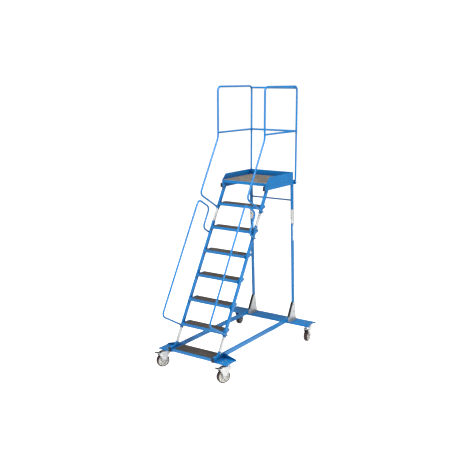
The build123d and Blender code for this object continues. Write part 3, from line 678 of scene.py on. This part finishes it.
def add_spokes(bm, place):
    """Tapered ribs on both faces of the web, from hub to band."""
    ends = ((HUB_RADIUS - SPOKE_SINK, HUB_HALF - SPOKE_BELOW),
            (TYRE_INNER - SPOKE_SHORT, RIM_HALF - SPOKE_BELOW))
    for face in (-1, 1):
        for spoke in range(SPOKES):
            turn = 2 * math.pi * (spoke + 0.5) / SPOKES
            along = Vector((math.cos(turn), 0, math.sin(turn)))
            across = Vector((-math.sin(turn), 0, math.cos(turn)))
            corners = []
            for radius, tall in ends:
                for wide, height in ((SPOKE_FOOT_HALF, WEB_HALF - SPOKE_SINK), (SPOKE_TOP_HALF, tall)):
                    for sign in (-1, 1):
                        spot = along * radius + across * (sign * wide) + Vector((0, face * height, 0))
                        corners.append(bm.verts.new(place @ spot))
            a0, a1, b0, b1, c0, c1, d0, d1 = corners
            for side in ((b0, b1, d1, d0), (a0, b0, d0, c0), (a1, c1, d1, b1),
                         (c0, d0, d1, c1), (a0, a1, b1, b0), (a0, c0, c1, a1)):
                bm.faces.new(side)


def tyre_profile():
    """A crowned tread with rounded shoulders, and a groove in each wall by the rim."""
    wall = -TYRE_HALF
    groove = wall + TYRE_GROOVE_DEPTH
    edges = [TYRE_INNER + out for out in TYRE_GROOVE]
    points = [(TYRE_INNER, wall + TYRE_CORNER), (TYRE_INNER + TYRE_CORNER, wall),
              (edges[0], wall), (edges[1], groove), (edges[2], groove), (edges[3], wall)]
    top = WHEEL_RADIUS - TYRE_CROWN
    for i in range(TYRE_SHOULDER_STEPS + 1):
        turn = math.radians(90 * i / TYRE_SHOULDER_STEPS)
        points.append((top - TYRE_SHOULDER + TYRE_SHOULDER * math.sin(turn),
                       wall + TYRE_SHOULDER - TYRE_SHOULDER * math.cos(turn)))
    points.append((WHEEL_RADIUS - CROWN_FLAT_DROP, -CROWN_FLAT_HALF))
    return points + [(WHEEL_RADIUS, 0.0)] + [(r, -a) for r, a in reversed(points)]


for corner in CORNERS:
    wheel = joints["wheel_" + corner]
    place = facing(wheel["pos_m"], wheel["axis"])
    bm = bmesh.new()
    lathe(bm, rim_profile(), place)
    add_spokes(bm, place)
    piece("wheel_" + corner, bm, "wheel_centre", "wheel_" + corner, ("castor_rim_" + corner,))
    bm = bmesh.new()
    lathe(bm, tyre_profile(), place)
    piece("tyre_" + corner, bm, "tyre_rubber", "wheel_" + corner, ("castor_tyre_" + corner,))


# ---- brake shoes and toe pads on the pedals ----
def pedal_place(corner):
    """Local X along the castor's trail, local Y along the pedal's pin, origin on the pin."""
    pivot = Vector(joints["pedal_" + corner]["pos_m"])
    swivel = Vector(joints["swivel_" + corner]["pos_m"])
    along = Vector((pivot.x - swivel.x, pivot.y - swivel.y, 0.0)).normalized()
    across = Vector((-along.y, along.x, 0.0))
    place = Matrix((along, across, Vector((0, 0, 1)))).transposed().to_4x4()
    return Matrix.Translation(pivot) @ place


def pad_outline():
    """The toe pad's (x, z) section, with cross ribs, on the lever's sloping top."""
    def on_lever(x, above):
        return x, LEVER_TOP + LEVER_SLOPE * x + above

    outline = [on_lever(PAD_START, -PAD_SINK)]
    step = (PAD_END - PAD_START) / PAD_RIBS
    for rib in range(PAD_RIBS):
        outline += [on_lever(PAD_START + (rib + share) * step, PAD_THICK * tall) for share, tall in PAD_RIB]
    return outline + [on_lever(PAD_END, PAD_THICK * PAD_VALLEY), on_lever(PAD_END, -PAD_SINK)]


def add_on_pedal(prefix, corner, outline, half):
    """An (x, z) outline carried across the pedal, on the pedal's body."""
    place = pedal_place(corner)
    bm = bmesh.new()
    prism(bm, *([place @ Vector((x, y, z)) for x, z in outline] for y in (-half, half)))
    piece(prefix + corner, bm, "black_plastic", "pedal_" + corner, smooth=False)


for corner in CORNERS:
    add_on_pedal("brake_shoe_", corner, SHOE_OUTLINE, SHOE_HALF)
    add_on_pedal("pedal_pad_", corner, pad_outline(), PAD_HALF)


# ---- floor, light and camera ----
def by_camera_ray(tree, lighting, seen):
    """One strength for the rays that light the object, another for what the camera sees directly."""
    camera_ray = add(tree, "ShaderNodeLightPath").outputs["Is Camera Ray"]
    return remap(tree, camera_ray, 0.0, 1.0, lighting, seen)


def make_floor_white():
    """Plain white that glows to the camera alone, so that it meets the backdrop without a line."""
    material, tree, shader = new_material("floor_white", (0.93, 0.93, 0.93), FLOOR_ROUGHNESS)
    uneven = remap(tree, noise(tree, object_space(tree), 0.7, 3.0), 0.3, 0.7,
                   FLOOR_ROUGHNESS - 0.05, FLOOR_ROUGHNESS + 0.05)
    tree.links.new(uneven, shader.inputs["Roughness"])
    shader.inputs["Emission Color"].default_value = WHITE
    tree.links.new(by_camera_ray(tree, 0.0, FLOOR_GLOW), shader.inputs["Emission Strength"])
    return material


def area_light(name, place, target, size, power):
    data = bpy.data.lights.new(name, "AREA")
    data.shape = "SQUARE"
    data.size = size
    data.energy = power
    lamp = bpy.data.objects.new(name, data)
    lamp.location = place
    lamp.rotation_euler = (Vector(target) - Vector(place)).to_track_quat("-Z", "Y").to_euler()
    bpy.context.scene.collection.objects.link(lamp)


bpy.ops.mesh.primitive_grid_add(x_subdivisions=2, y_subdivisions=2, size=FLOOR_SIZE)
floor = bpy.context.object
floor.name = "floor"
floor.data.materials.append(make_floor_white())

world = bpy.data.worlds.new("studio")
bpy.context.scene.world = world
world.use_nodes = True
sky = world.node_tree.nodes["Background"]
sky.inputs["Color"].default_value = WHITE
world.node_tree.links.new(by_camera_ray(world.node_tree, ROOM_LIGHT, BACKDROP_LIGHT), sky.inputs["Strength"])
bpy.context.scene.view_settings.view_transform = "Standard"

for light in LIGHTS:
    area_light(*light)

camera_data = bpy.data.cameras.new("camera")
camera_data.lens = CAMERA_LENS
camera_data.sensor_width = CAMERA_SENSOR
camera = bpy.data.objects.new("camera", camera_data)
camera.location = CAMERA_PLACE
camera.rotation_euler = (math.radians(90.0 - CAMERA_DOWN), 0.0, math.radians(CAMERA_TURN))
bpy.context.scene.collection.objects.link(camera)
bpy.context.scene.camera = camera
